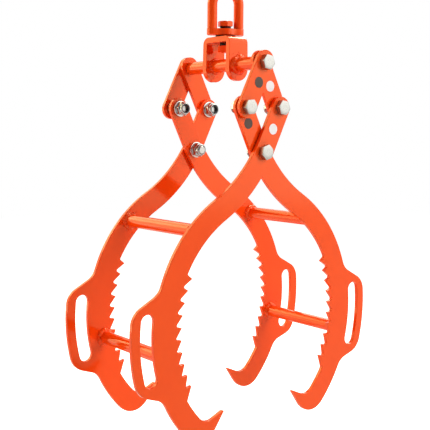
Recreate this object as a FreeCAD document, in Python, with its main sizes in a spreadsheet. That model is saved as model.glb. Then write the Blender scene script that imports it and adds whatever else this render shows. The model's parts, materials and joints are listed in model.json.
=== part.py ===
import FreeCAD, Part
import math
import os

import Sketcher

# Four-claw log lifting tongs that hang from a swivel eye.
# X runs across the tongs, from the left claws to the right claws.
# Y runs from the front pair of claws (negative) to the rear pair (positive).
# Z points up, and the origin is where a crane hook sits in the eye.
# Each jaw is drawn in its own plane, as it hangs, with its crossing pivot at the origin.
# The teeth, arm, handle and throat of a jaw are arcs about one grip centre.

# Lengths are in millimetres and angles in degrees.
DRIVING_SIZES = [
    ("link_length", 87, "distance between the two pivots of a link, and of a jaw's short arm"),
    ("half_angle", 26.5, "lean of each link and of each jaw's short arm from the vertical"),
    ("link_width", 39, "width of the links"),
    ("link_end_margin", 2.5, "how far a link's upper end is rounded beyond its pivot"),
    ("bar_width", 40.5, "width of a jaw's short arm"),
    ("bar_shift", 1, "distance of the short arm's middle line outside its two pivots"),
    ("plate_thickness", 7, "thickness of the link and jaw plates"),
    ("plate_gap", 0.4, "air between a link and the plate or crossbar beside it"),
    ("claw_gap", 2, "air between the two jaws of a pair"),
    ("crossbar_length", 193.5, "length of the crossbar that sets the pairs apart"),
    ("crossbar_offset", 4.5, "distance of the crossbar's middle behind the swivel's axis"),
    ("crossbar_diameter", 24, "outer diameter of the crossbar"),
    ("tapped_depth", 38, "depth of the bolt hole in each end of the crossbar"),
    ("bolt_diameter", 16, "shank diameter of every bolt"),
    ("hex_width", 24, "width across the flats of bolt heads and nuts"),
    ("head_height", 10, "height of a bolt head"),
    ("head_crown", 22.8, "diameter of the flat top of a chamfered head or nut"),
    ("chamfer_slope", 30, "slope of the chamfer on heads and nuts"),
    ("washer_diameter", 30, "outer diameter of a flat washer"),
    ("washer_thickness", 3, "thickness of a flat washer"),
    ("nut_hex_height", 11, "height of the hexagon of a lock nut"),
    ("collar_height", 4.5, "height of the round collar on a lock nut"),
    ("collar_diameter", 21.5, "outer diameter of that collar"),
    ("bolt_end_proud", 2, "how far a crossing bolt's end stands out of its nut"),
    ("bolt_end_inset", 3, "how deep the other pivot bolts end inside their nuts"),
    ("bolt_end_chamfer", 1.5, "chamfer on the end of a bolt"),
    ("running_fit", 0.05, "radial clearance of a pivot bolt"),
    ("open_pivot_fit", 0.3, "radial clearance of the crossing bolt in the right jaws"),
    ("seat_gap", 0.3, "clearance under a head or washer that a plate turns against"),
    ("spacer_diameter", 26, "outer diameter of the spacer on the rear left pivot"),
    ("bracket_thickness", 10.5, "thickness of the bent swivel bracket"),
    ("bracket_depth", 75.5, "size of the bracket over its two legs"),
    ("bracket_bend_radius", 3, "inner radius of the bracket's bends"),
    ("bracket_top_width", 42.5, "width of the bracket at its top"),
    ("lobe_radius", 22.3, "radius of the round lower end of a bracket leg"),
    ("lobe_drop", 7, "height of the crossbar's axis over the lobe's centre"),
    ("bracket_rise", 51.5, "height of the bracket's top over the crossbar's axis"),
    ("swivel_nut_height", 12, "height of the plain nut under the bracket's top"),
    ("swivel_washer_diameter", 20, "outer diameter of the washer over that nut"),
    ("swivel_washer_thickness", 5, "thickness of that washer"),
    ("swivel_bolt_proud", 1, "how far the swivel bolt stands out under its nut"),
    ("thrust_washer_diameter", 36, "outer diameter of the washer between eye and bracket"),
    ("thrust_washer_thickness", 2.5, "thickness of that washer"),
    ("bushing_diameter", 20, "outer diameter of the bushing that the eye turns on"),
    ("eye_play", 4, "free height between the eye's base and the swivel bolt's head"),
    ("eye_bar_diameter", 18, "diameter of the eye's round bar"),
    ("eye_leg_spacing", 51, "distance between the centres of the eye's legs"),
    ("eye_leg_height", 44, "height of the straight legs over the eye's base"),
    ("eye_base_height", 12, "height of the eye's base"),
    ("eye_base_depth", 22, "depth of the eye's base from front to rear"),
    ("eye_base_overhang", 0.6, "how far the base's round ends stand out beyond the legs"),
    ("eye_boss_diameter", 34, "diameter of the boss round the swivel bore"),
    ("eye_boss_blend", 16, "radius between boss and base bar"),
    ("eye_edge_round", 2, "rounding of the underside of the eye's base"),
    ("eye_turn", 20, "turn of the eye about the swivel, as it hangs"),
    ("grip_offset", 21, "distance of the grip centre beyond the crossing pivot"),
    ("grip_drop", 298, "distance of the grip centre below the crossing pivot"),
    ("tooth_tip_radius", 200, "radius of the tooth tips about the grip centre"),
    ("tooth_depth", 12.5, "depth of the teeth, from their tips to the arm's inner edge"),
    ("tooth_count", 10, "number of teeth on a jaw"),
    ("tooth_step", 5.95, "angle from one tooth to the next"),
    ("tooth_start", 26.9, "angle of the first tooth tip above the grip centre"),
    ("tooth_lag", 0.7, "angle by which a tooth's upper flank leans"),
    ("tooth_gap_round", 2.6, "rounding at the foot of each gap between teeth"),
    ("throat_depth", 19.5, "depth of the hook's throat below the tooth tips"),
    ("throat_start", 31.5, "angle below the grip centre where the throat starts"),
    ("throat_end", 47.7, "angle where the throat meets the inner edge of the hook"),
    ("hook_reach", 22.4, "how far the hook's point stands inside the tooth tips"),
    ("hook_point_angle", 53.9, "angle of that point below the grip centre"),
    ("claw_width", 47, "width of the claw, from the tooth roots to its outer edge"),
    ("claw_heel_angle", 54.3, "angle where the hook's outer edge meets the claw's"),
    ("arm_width", 41.5, "width of the curved arm"),
    ("handle_wall", 17, "width of the handle outside its slot"),
    ("upper_neck_angle", 16.6, "angle above the grip centre where the handle leaves the arm"),
    ("upper_corner_angle", 8.45, "angle of the handle's upper corner"),
    ("lower_corner_angle", 17.6, "angle below the grip centre of the handle's lower corner"),
    ("lower_neck_angle", 24.4, "angle where the handle joins the claw"),
    ("slot_inset", 3.5, "distance of the hand slot outside the line of the arm's outer edge"),
    ("slot_width", 25.5, "width of the hand slot"),
    ("slot_top_angle", 6.1, "angle of the slot's upper end centre above the grip centre"),
    ("slot_bottom_angle", 14.5, "angle of the slot's lower end centre below it"),
    ("inner_elbow_radius", 280, "rounding where the short arm meets the arm's inner edge"),
    ("outer_elbow_radius", 250, "blend where the short arm meets the arm's outer edge"),
    ("handle_corner_radius", 34, "rounding of the handle's two corners"),
    ("handle_blend_radius", 31, "blend of the handle into arm and claw"),
    ("throat_blend_radius", 25, "rounding of the throat's end"),
    ("heel_blend_radius", 39, "rounding of the claw's heel"),
    ("hook_point_round", 1.8, "rounding of the hook's point"),
    ("tube_diameter", 23, "outer diameter of the cross tubes"),
    ("tube_wall", 3, "wall of the cross tubes"),
    ("upper_tube_inset", 24.5, "distance of the upper cross tube's axis from the arm's inner edge"),
    ("upper_tube_angle", 45.3, "angle of that tube above the grip centre"),
    ("lower_tube_inset", 26, "distance of the lower cross tube's axis from the tooth tips"),
    ("lower_tube_angle", 10.4, "angle of that tube below the grip centre"),
    ("tube_weld_leg", 5, "leg of the weld beads round the cross tubes"),
    ("crossbar_weld_leg", 7, "leg of the weld beads round the crossbar"),
    ("mark_diameter", 19, "diameter of the round assembly marks"),
    ("mark_thickness", 0.3, "thickness of the marks"),
    ("dark_link_mark_drop", 38, "distance of the dark mark on a link from the crossbar's axis"),
    ("dark_link_mark_side", 2.5, "distance of that mark from the link's middle line"),
    ("pale_link_mark_drop", 45, "distance of the pale mark on a link from the crossbar's axis"),
    ("dark_jaw_mark_drop", 29, "distance of the dark mark on a jaw from its upper pivot"),
    ("dark_jaw_mark_side", 4.5, "distance of that mark from the line of the jaw's pivots"),
    ("pale_jaw_mark_drop", 42, "distance of the pale mark on a jaw from its upper pivot"),
]

# Sizes worked out from the driving ones, as formulas of the sheet.
WORKED_OUT = [
    ("plate_pitch", "plate_thickness + plate_gap"),
    ("claw_pitch", "plate_thickness + claw_gap"),
    ("pivot_hole", "bolt_diameter + 2 * running_fit"),
    ("open_pivot_hole", "bolt_diameter + 2 * open_pivot_fit"),
    ("hex_corner_radius", "hex_width / 2 / cos(30)"),
    ("nut_height", "nut_hex_height + collar_height"),
    ("node_reach", "link_length * sin(half_angle)"),
    ("node_rise", "link_length * cos(half_angle)"),
    ("eye_inner_radius", "(eye_leg_spacing - eye_bar_diameter) / 2"),
    ("eye_base_end", "(eye_leg_spacing + eye_bar_diameter - eye_base_depth) / 2 + eye_base_overhang"),
    ("eye_base_top", "-eye_inner_radius - eye_leg_height"),
    ("eye_base_bottom", "eye_base_top - eye_base_height"),
    ("thrust_washer_top", "eye_base_bottom - seat_gap"),
    ("bracket_top", "thrust_washer_top - thrust_washer_thickness"),
    ("bracket_underside", "bracket_top - bracket_thickness"),
    ("swivel_head_seat", "eye_base_top + eye_play"),
    ("swivel_nut_top", "bracket_underside - swivel_washer_thickness"),
    ("apex_height", "bracket_top - bracket_rise"),
    ("node_height", "apex_height - node_rise"),
    ("crossing_height", "apex_height - 2 * node_rise"),
    ("crossbar_front", "crossbar_offset - crossbar_length / 2"),
    ("crossbar_back", "crossbar_offset + crossbar_length / 2"),
    ("front_inner_back", "crossbar_front - plate_gap"),
    ("front_inner_face", "front_inner_back - plate_thickness"),
    ("front_outer_face", "front_inner_face - claw_pitch"),
    ("rear_third_face", "crossbar_back + plate_gap"),
    ("rear_fourth_face", "rear_third_face + plate_pitch"),
    ("rear_second_face", "rear_third_face - plate_pitch"),
    ("rear_first_face", "rear_second_face - claw_pitch"),
    ("rear_fourth_back", "rear_fourth_face + plate_thickness"),
    ("tooth_root_radius", "tooth_tip_radius + tooth_depth"),
    ("throat_radius", "tooth_tip_radius + throat_depth"),
    ("hook_point_radius", "tooth_tip_radius - hook_reach"),
    ("claw_radius", "tooth_root_radius + claw_width"),
    ("arm_radius", "tooth_root_radius + arm_width"),
    ("slot_inner_radius", "arm_radius + slot_inset"),
    ("slot_outer_radius", "slot_inner_radius + slot_width"),
    ("slot_radius", "slot_inner_radius + slot_width / 2"),
    ("handle_radius", "slot_outer_radius + handle_wall"),
    ("upper_tube_radius", "tooth_root_radius + upper_tube_inset"),
    ("lower_tube_radius", "tooth_tip_radius + lower_tube_inset"),
    ("tooth_gap_count", "tooth_count - 1"),
    ("last_tooth_angle", "tooth_step * (tooth_count - 1) - tooth_start"),
    ("teeth_turn", "tooth_step * (tooth_count - 2)"),
]

document = FreeCAD.newDocument("log_lifting_tongs")
sheet = document.addObject("Spreadsheet::Sheet", "sizes")


def fill_sheet():
    """One row for each size: its name, its value and what it is."""
    for row, (alias, value, note) in enumerate(DRIVING_SIZES, start=1):
        sheet.set(f"A{row}", alias)
        sheet.set(f"B{row}", str(value))
        sheet.set(f"C{row}", note)
        sheet.setAlias(f"B{row}", alias)
    for row, (alias, formula) in enumerate(WORKED_OUT, start=len(DRIVING_SIZES) + 1):
        sheet.set(f"A{row}", alias)
        sheet.set(f"B{row}", "=" + formula)
        sheet.setAlias(f"B{row}", alias)
    document.recompute()


fill_sheet()
ALIASES = [entry[0] for entry in DRIVING_SIZES + WORKED_OUT]
ALIASES.sort(key=len, reverse=True)


def full(formula):
    """Puts the sheet's name before each size that a formula uses."""
    words = []
    word = ""
    for letter in formula + " ":
        if letter.isalnum() or letter == "_":
            word += letter
            continue
        words.append("sizes." + word if word in ALIASES else word)
        words.append(letter)
        word = ""
    return "".join(words).strip()


def number(formula):
    """The value of a formula now."""
    result = sheet.evalExpression(full(formula))
    return float(getattr(result, "Value", result))


def bind(thing, path, formula):
    thing.setExpression(path, full(formula))


def place(thing, x="0", y="0", z="0"):
    """Ties a piece's place to the sheet."""
    for axis, formula in (("x", x), ("y", y), ("z", z)):
        bind(thing, "Placement.Base." + axis, formula)


def turn(thing, axis, degrees):
    thing.Placement = FreeCAD.Placement(thing.Placement.Base, FreeCAD.Rotation(axis, degrees))


X_AXIS = FreeCAD.Vector(1, 0, 0)
Z_AXIS = FreeCAD.Vector(0, 0, 1)
HALF_TURN = 180
QUARTER_TURN = 90
ORIGIN = (-1, 1)
START, END, CENTRE = range(1, 4)


def point(x, z):
    return FreeCAD.Vector(number(x), number(z), 0)


def polar(radius, angle):
    """Formulas for a point at a radius and angle about the grip centre, in the jaw's plane."""
    x = f"{radius} * cos({angle}) - grip_offset"
    z = f"{radius} * sin({angle}) - grip_drop"
    return x, z


class Drawing:
    """A sketch on a plane of its body, with constraints tied to the sheet."""

    def __init__(self, body, name, plane="XZ_Plane"):
        self.sketch = body.newObject("Sketcher::SketchObject", name)
        base = [part for part in body.Origin.OriginFeatures if part.Role == plane][0]
        self.sketch.AttachmentSupport = [(base, "")]
        self.sketch.MapMode = "FlatFace"

    def rule(self, kind, *where):
        return self.sketch.addConstraint(Sketcher.Constraint(kind, *where))

    def size(self, kind, *where, formula):
        index = self.rule(kind, *where, number(formula))
        bind(self.sketch, f"Constraints[{index}]", formula)

    def right_of_origin(self, where, formula):
        self.signed("DistanceX", where, formula)

    def above_origin(self, where, formula):
        self.signed("DistanceY", where, formula)

    def signed(self, kind, where, formula):
        """A distance from the origin, with the positive way round chosen by its sign now."""
        if number(formula) < 0:
            self.size(kind, *where, *ORIGIN, formula=f"-({formula})")
        else:
            self.size(kind, *ORIGIN, *where, formula=formula)

    def at(self, where, x, z):
        self.right_of_origin(where, x)
        self.above_origin(where, z)

    def line(self, start, end):
        return self.sketch.addGeometry(Part.LineSegment(start, end))

    def circle(self, x, z, diameter):
        """A whole circle at a point given by formulas."""
        radius = number(diameter) / 2
        index = self.sketch.addGeometry(Part.Circle(point(x, z), FreeCAD.Vector(0, 0, 1), radius))
        self.size("Diameter", index, formula=diameter)
        self.fix_point((index, CENTRE), x, z)
        return index

    def fix_point(self, where, x, z):
        if x == "0" and z == "0":
            self.rule("Coincident", *where, *ORIGIN)
        elif x == "0":
            self.rule("PointOnObject", *where, -2)
            self.above_origin(where, z)
        elif z == "0":
            self.rule("PointOnObject", *where, -1)
            self.right_of_origin(where, x)
        else:
            self.at(where, x, z)

    def arc(self, centre, radius, start_angle, end_angle):
        """An arc that runs anticlockwise from one angle to the other, in degrees."""
        whole = Part.Circle(centre, FreeCAD.Vector(0, 0, 1), radius)
        bow = Part.ArcOfCircle(whole, math.radians(start_angle), math.radians(end_angle))
        return self.sketch.addGeometry(bow)


def pad(body, drawing, length, name):
    """Thickens a closed drawing by the same amount to both sides of its plane."""
    feature = body.newObject("PartDesign::Pad", name)
    feature.Profile = drawing.sketch
    feature.SideType = "Symmetric"
    bind(feature, "Length", length)
    document.recompute()
    return feature


def cut_through(body, drawing, name):
    """Cuts a closed drawing right through the body, and checks that it took something away."""
    before = body.Shape.Volume
    feature = body.newObject("PartDesign::Pocket", name)
    feature.Profile = drawing.sketch
    feature.SideType = "Symmetric"
    feature.Type = "ThroughAll"
    document.recompute()
    if not body.Shape.Volume < before:
        raise RuntimeError(f"{name} of {body.Label} cuts nothing")
    return feature


def round_edges(body, base, radius, corners, name):
    """Rounds the edges that cross the drawing's plane at the given corners."""
    names = []
    for corner in corners:
        gaps = []
        for index, edge in enumerate(base.Shape.Edges, start=1):
            middle = edge.CenterOfMass
            crosses = edge.BoundBox.XLength + edge.BoundBox.ZLength < edge.BoundBox.YLength
            if crosses:
                gaps.append((math.hypot(middle.x - corner.x, middle.z - corner.y), f"Edge{index}"))
        names.append(min(gaps)[1])
    feature = body.newObject("PartDesign::Fillet", name)
    feature.Base = (base, names)
    bind(feature, "Radius", radius)
    document.recompute()
    return feature


def new_body(label):
    return document.addObject("PartDesign::Body", label)


def flip(body):
    """Turns a plate over, so that a left-hand piece becomes a right-hand one."""
    turn(body, Z_AXIS, HALF_TURN)


# Links

def make_link(label, leans_left, face, clear_of="pivot_hole"):
    """A straight plate with round ends that hangs from the crossbar's axis."""
    body = new_body(label)
    drawing = Drawing(body, label + "_outline")
    reach = number("node_reach")
    drop = number("node_rise")
    half = number("link_width") / 2
    lean = number("half_angle")
    top_centre = ("link_end_margin * sin(half_angle)", "link_end_margin * cos(half_angle)")
    top = point(*top_centre)
    low = FreeCAD.Vector(-reach, -drop, 0)
    side = FreeCAD.Vector(math.cos(math.radians(lean)), -math.sin(math.radians(lean)), 0) * half
    upper = drawing.arc(top, half, -lean, HALF_TURN - lean)
    left = drawing.line(top - side, low - side)
    lower = drawing.arc(low, half, HALF_TURN - lean, 2 * HALF_TURN - lean)
    right = drawing.line(low + side, top + side)
    drawing.rule("Tangent", upper, END, left, START)
    drawing.rule("Tangent", left, END, lower, START)
    drawing.rule("Tangent", lower, END, right, START)
    drawing.rule("Tangent", right, END, upper, START)
    drawing.at((upper, CENTRE), *top_centre)
    drawing.at((lower, CENTRE), "-node_reach", "-node_rise")
    drawing.size("Radius", upper, formula="link_width / 2")
    drawing.circle("0", "0", "pivot_hole")
    drawing.circle("-node_reach", "-node_rise", clear_of)
    pad(body, drawing, "plate_thickness", label + "_plate")
    if not leans_left:
        flip(body)
    place(body, y=f"{face} + plate_thickness / 2", z="apex_height")
    return body


# Jaws

JAW_CORNERS = {
    "upper_neck": polar("arm_radius", "upper_neck_angle"),
    "upper_corner": polar("handle_radius", "upper_corner_angle"),
    "lower_corner": polar("handle_radius", "-lower_corner_angle"),
    "lower_neck": polar("claw_radius", "-lower_neck_angle"),
    "heel": polar("claw_radius", "-claw_heel_angle"),
    "hook_point": polar("hook_point_radius", "-hook_point_angle"),
    "throat_end": polar("throat_radius", "-throat_end"),
    "throat_start": polar("throat_radius", "-throat_start"),
    "last_tooth": polar("tooth_tip_radius", "-last_tooth_angle"),
    "first_tooth": polar("tooth_tip_radius", "tooth_start"),
    "teeth_start": polar("tooth_root_radius", "tooth_start + tooth_lag"),
}


def angle_of(place_in_plane):
    """The angle of a point about the grip centre, in degrees."""
    return math.degrees(math.atan2(place_in_plane.y + number("grip_drop"),
                                   place_in_plane.x + number("grip_offset")))


def bar_meets_arc(side, radius):
    """Where an edge of the short arm meets an arc about the grip centre, near the pivot."""
    lean = math.radians(number("half_angle"))
    down = FreeCAD.Vector(math.sin(lean), -math.cos(lean), 0)
    across = side * number("bar_width") / 2 - number("bar_shift")
    start = FreeCAD.Vector(math.cos(lean), math.sin(lean), 0) * across
    from_centre = start - point("-grip_offset", "-grip_drop")
    half_b = from_centre.dot(down)
    rest = from_centre.dot(from_centre) - number(radius) ** 2
    return start + down * (-half_b - math.sqrt(half_b ** 2 - rest))


def draw_jaw_outline(body, label):
    """The closed outline of a jaw, with sharp corners that are rounded later."""
    drawing = Drawing(body, label + "_outline")
    corner = {name: point(*formulas) for name, formulas in JAW_CORNERS.items()}
    corner["inner_elbow"] = bar_meets_arc(-1, "tooth_root_radius")
    corner["outer_elbow"] = bar_meets_arc(1, "arm_radius")
    grip = point("-grip_offset", "-grip_drop")
    bar_low = ("-bar_shift * cos(half_angle)", "-bar_shift * sin(half_angle)")
    bar_top = (f"{bar_low[0]} - node_reach", f"{bar_low[1]} + node_rise")
    node = point(*bar_top)
    lean = number("half_angle")
    half = number("bar_width") / 2
    side = FreeCAD.Vector(math.cos(math.radians(lean)), math.sin(math.radians(lean)), 0) * half
    top = drawing.arc(node, half, lean, HALF_TURN + lean)
    pieces = {"top": top}
    pieces["left_edge"] = drawing.line(node - side, corner["inner_elbow"])
    pieces["right_edge"] = drawing.line(corner["outer_elbow"], node + side)

    def grip_arc(name, radius, low, high):
        pieces[name] = drawing.arc(grip, number(radius), angle_of(corner[low]), angle_of(corner[high]))
        drawing.size("Radius", pieces[name], formula=radius)

    def straight(name, first, second):
        pieces[name] = drawing.line(corner[first], corner[second])

    grip_arc("inner_edge", "tooth_root_radius", "teeth_start", "inner_elbow")
    straight("first_flank", "teeth_start", "first_tooth")
    grip_arc("tooth_line", "tooth_tip_radius", "last_tooth", "first_tooth")
    straight("last_flank", "last_tooth", "throat_start")
    grip_arc("throat", "throat_radius", "throat_end", "throat_start")
    straight("hook_inside", "throat_end", "hook_point")
    straight("hook_outside", "hook_point", "heel")
    grip_arc("claw_edge", "claw_radius", "heel", "lower_neck")
    straight("lower_shoulder", "lower_neck", "lower_corner")
    grip_arc("handle_edge", "handle_radius", "lower_corner", "upper_corner")
    straight("upper_shoulder", "upper_corner", "upper_neck")
    grip_arc("arm_edge", "arm_radius", "upper_neck", "outer_elbow")

    def join(first, first_end, second, second_end, rule="Coincident"):
        drawing.rule(rule, pieces[first], first_end, pieces[second], second_end)

    join("top", END, "left_edge", START, "Tangent")
    join("left_edge", END, "inner_edge", END)
    join("inner_edge", START, "first_flank", START)
    join("first_flank", END, "tooth_line", END)
    join("tooth_line", START, "last_flank", START)
    join("last_flank", END, "throat", END)
    join("throat", START, "hook_inside", START)
    join("hook_inside", END, "hook_outside", START)
    join("hook_outside", END, "claw_edge", START)
    join("claw_edge", END, "lower_shoulder", START)
    join("lower_shoulder", END, "handle_edge", START)
    join("handle_edge", END, "upper_shoulder", START)
    join("upper_shoulder", END, "arm_edge", START)
    join("arm_edge", END, "right_edge", START)
    join("right_edge", END, "top", START, "Tangent")
    drawing.size("Radius", top, formula="bar_width / 2")
    drawing.at((top, CENTRE), *bar_top)
    drawing.rule("Parallel", pieces["left_edge"], pieces["right_edge"])
    axis = drawing.line(point(*bar_low), node)
    drawing.sketch.setConstruction(axis, True)
    drawing.at((axis, START), *bar_low)
    drawing.rule("Coincident", axis, END, top, CENTRE)
    drawing.rule("Parallel", axis, pieces["left_edge"])
    grip_arcs = ["inner_edge", "tooth_line", "throat", "claw_edge", "handle_edge", "arm_edge"]
    drawing.at((pieces[grip_arcs[0]], CENTRE), "-grip_offset", "-grip_drop")
    for name in grip_arcs[1:]:
        join(name, CENTRE, grip_arcs[0], CENTRE)
    ends = {
        "teeth_start": ("first_flank", START), "first_tooth": ("first_flank", END),
        "last_tooth": ("last_flank", START), "throat_start": ("last_flank", END),
        "throat_end": ("hook_inside", START), "hook_point": ("hook_inside", END),
        "heel": ("hook_outside", END), "lower_neck": ("lower_shoulder", START),
        "lower_corner": ("lower_shoulder", END), "upper_corner": ("upper_shoulder", START),
        "upper_neck": ("upper_shoulder", END),
    }
    for name, (piece, end) in ends.items():
        drawing.above_origin((pieces[piece], end), JAW_CORNERS[name][1])
    hook_point_x = JAW_CORNERS["hook_point"][0]
    drawing.right_of_origin((pieces["hook_inside"], END), hook_point_x)
    return drawing, corner


def move_to_grip_centre(drawing):
    """Puts a drawing's own origin at the grip centre."""
    bind(drawing.sketch, "AttachmentOffset.Base.x", "-grip_offset")
    bind(drawing.sketch, "AttachmentOffset.Base.y", "-grip_drop")


def cut_tooth_gaps(body, label):
    """One gap between two tooth tips, repeated round the grip centre."""
    drawing = Drawing(body, label + "_tooth_gap")
    move_to_grip_centre(drawing)

    def about_grip(radius, angle):
        return f"{radius} * cos({angle})", f"{radius} * sin({angle})"

    corners = [
        about_grip("tooth_tip_radius", "tooth_start"),
        about_grip("tooth_root_radius", "tooth_start - tooth_step + tooth_lag"),
        about_grip("tooth_tip_radius", "tooth_start - tooth_step"),
    ]
    sides = []
    for start, end in zip(corners, corners[1:] + corners[:1]):
        sides.append(drawing.line(point(*start), point(*end)))
    for index, side in enumerate(sides):
        drawing.rule("Coincident", side, END, sides[(index + 1) % len(sides)], START)
        drawing.at((side, START), *corners[index])
    gap = cut_through(body, drawing, label + "_first_tooth_gap")
    before = body.Shape.Volume
    teeth = body.newObject("PartDesign::PolarPattern", label + "_teeth")
    teeth.Originals = [gap]
    teeth.Axis = (drawing.sketch, ["N_Axis"])
    bind(teeth, "Angle", "teeth_turn")
    bind(teeth, "Occurrences", "tooth_gap_count")
    teeth.Reversed = True
    body.Tip = teeth
    document.recompute()
    if not body.Shape.Volume < before:
        raise RuntimeError(f"the teeth of {label} cut nothing")
    feet = [point(*JAW_CORNERS["teeth_start"])]
    for gap_number in range(1, round(number("tooth_gap_count")) + 1):
        foot = polar("tooth_root_radius", f"tooth_start + tooth_lag - {gap_number} * tooth_step")
        feet.append(point(*foot))
    round_edges(body, teeth, "tooth_gap_round", feet, label + "_tooth_gap_round")


def cut_hand_slot(body, label):
    """A curved slot with round ends that follows the handle's edge."""
    drawing = Drawing(body, label + "_hand_slot")
    move_to_grip_centre(drawing)
    top = number("slot_top_angle")
    bottom = -number("slot_bottom_angle")
    half = number("slot_width") / 2
    middle = number("slot_radius")
    centre = FreeCAD.Vector(0, 0, 0)

    def end_centre(angle):
        return FreeCAD.Vector(math.cos(math.radians(angle)), math.sin(math.radians(angle)), 0) * middle

    inner = drawing.arc(centre, middle - half, bottom, top)
    outer = drawing.arc(centre, middle + half, bottom, top)
    upper = drawing.arc(end_centre(top), half, top, top + HALF_TURN)
    lower = drawing.arc(end_centre(bottom), half, bottom + HALF_TURN, bottom + 2 * HALF_TURN)
    drawing.rule("Tangent", outer, END, upper, START)
    drawing.rule("Tangent", upper, END, inner, END)
    drawing.rule("Tangent", inner, START, lower, START)
    drawing.rule("Tangent", lower, END, outer, START)
    drawing.rule("Coincident", inner, CENTRE, *ORIGIN)
    drawing.rule("Coincident", outer, CENTRE, *ORIGIN)
    drawing.size("Radius", inner, formula="slot_inner_radius")
    drawing.size("Radius", outer, formula="slot_outer_radius")
    drawing.above_origin((upper, CENTRE), "slot_radius * sin(slot_top_angle)")
    drawing.above_origin((lower, CENTRE), "-slot_radius * sin(slot_bottom_angle)")
    cut_through(body, drawing, label + "_slot")


def make_jaw(label, claw_on_right, face, crossing_hole):
    """A claw plate: short arm up to its link, long toothed arm down to its hook."""
    body = new_body(label)
    drawing, corner = draw_jaw_outline(body, label)
    plate = pad(body, drawing, "plate_thickness", label + "_plate")
    roundings = [
        ("inner_elbow_radius", ["inner_elbow"]),
        ("outer_elbow_radius", ["outer_elbow"]),
        ("handle_corner_radius", ["upper_corner", "lower_corner"]),
        ("handle_blend_radius", ["upper_neck", "lower_neck"]),
        ("throat_blend_radius", ["throat_end"]),
        ("heel_blend_radius", ["heel"]),
        ("hook_point_round", ["hook_point"]),
    ]
    for radius, names in roundings:
        corners = [corner[name] for name in names]
        plate = round_edges(body, plate, radius, corners, f"{label}_{radius}")
    cut_tooth_gaps(body, label)
    cut_hand_slot(body, label)
    holes = Drawing(body, label + "_pivots")
    holes.circle("0", "0", crossing_hole)
    holes.circle("-node_reach", "node_rise", "pivot_hole")
    cut_through(body, holes, label + "_pivot_holes")
    if not claw_on_right:
        flip(body)
    place(body, y=f"{face} + plate_thickness / 2", z="crossing_height")
    return body


def jaw_place(claw_on_right, radius, angle):
    """Formulas for the place of something at a jaw's grip radius and angle."""
    x, z = polar(radius, angle)
    if not claw_on_right:
        x = f"-({x})"
    return x, f"{z} + crossing_height"


# Round pieces along Y

def make_tube(label, x, z, front, back):
    """A hollow tube from one face to another along Y."""
    body = new_body(label)
    drawing = Drawing(body, label + "_section")
    drawing.circle("0", "0", "tube_diameter")
    drawing.circle("0", "0", "tube_diameter - 2 * tube_wall")
    pad(body, drawing, f"{back} - ({front})", label + "_wall")
    place(body, x=x, y=f"({back} + {front}) / 2", z=z)
    return body


def primitive(kind, name, **sizes):
    """A Part primitive whose properties are tied to the sheet."""
    thing = document.addObject(kind, name)
    for key, formula in sizes.items():
        bind(thing, key, formula)
    return thing


def point_along_y(thing, forward):
    """Turns a primitive that stands on Z so that it points to the front or to the rear."""
    turn(thing, X_AXIS, QUARTER_TURN if forward else -QUARTER_TURN)


def cylinder(name, radius, height):
    return primitive("Part::Cylinder", name, Radius=radius, Height=height)


def cone(name, low_radius, high_radius, height):
    return primitive("Part::Cone", name, Radius1=low_radius, Radius2=high_radius, Height=height)


def cut(name, base, tool):
    """What is left of one piece when another is taken away."""
    result = document.addObject("Part::Cut", name)
    result.Base = base
    result.Tool = tool
    return result


def fuse(name, pieces):
    result = document.addObject("Part::MultiFuse", name)
    result.Shapes = pieces
    return result


def common(name, pieces):
    result = document.addObject("Part::MultiCommon", name)
    result.Shapes = pieces
    return result


def group(label, pieces):
    """Separate solids that share one node."""
    result = document.addObject("Part::Compound", label)
    result.Links = pieces
    return result


HEX_SIDES = 6
CORNER_UP = 30


def chamfered_hexagon(name, height):
    """A hexagon on the XY plane whose upper corners are cut back by a cone."""
    prism = document.addObject("Part::Prism", name + "_prism")
    prism.Polygon = HEX_SIDES
    bind(prism, "Circumradius", "hex_corner_radius")
    bind(prism, "Height", height)
    turn(prism, Z_AXIS, CORNER_UP)
    wide = f"head_crown / 2 + ({height}) / tan(chamfer_slope)"
    cover = cone(name + "_cover", wide, "head_crown / 2", height)
    return common(name, [prism, cover])


def make_bolt(name, shank_length):
    """A hex bolt whose head stands on the XY plane, with its shank below it."""
    head = chamfered_hexagon(name + "_head", "head_height")
    straight = cylinder(name + "_shank", "bolt_diameter / 2", f"({shank_length}) - bolt_end_chamfer")
    bind(straight, "Placement.Base.z", f"bolt_end_chamfer - ({shank_length})")
    tip_radius = "bolt_diameter / 2 - bolt_end_chamfer"
    end = cone(name + "_end", tip_radius, "bolt_diameter / 2", "bolt_end_chamfer")
    bind(end, "Placement.Base.z", f"-({shank_length})")
    return fuse(name, [head, straight, end])


def make_washer(name, outer, thickness):
    """A flat ring on the XY plane."""
    disc = cylinder(name + "_disc", f"{outer} / 2", thickness)
    hole = cylinder(name + "_hole", "pivot_hole / 2", thickness)
    return cut(name, disc, hole)


def make_lock_nut(name):
    """A lock nut on the XY plane: a hexagon with a round collar over it."""
    hexagon = chamfered_hexagon(name + "_hexagon", "nut_hex_height")
    wall = "collar_height - bolt_end_chamfer"
    collar = cylinder(name + "_collar", "collar_diameter / 2", wall)
    bind(collar, "Placement.Base.z", "nut_hex_height")
    crown = cone(name + "_crown", "collar_diameter / 2", "collar_diameter / 2 - bolt_end_chamfer",
                 "bolt_end_chamfer")
    bind(crown, "Placement.Base.z", f"nut_hex_height + {wall}")
    solid = fuse(name + "_solid", [hexagon, collar, crown])
    return cut(name, solid, cylinder(name + "_thread", "pivot_hole / 2", "nut_height"))


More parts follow.
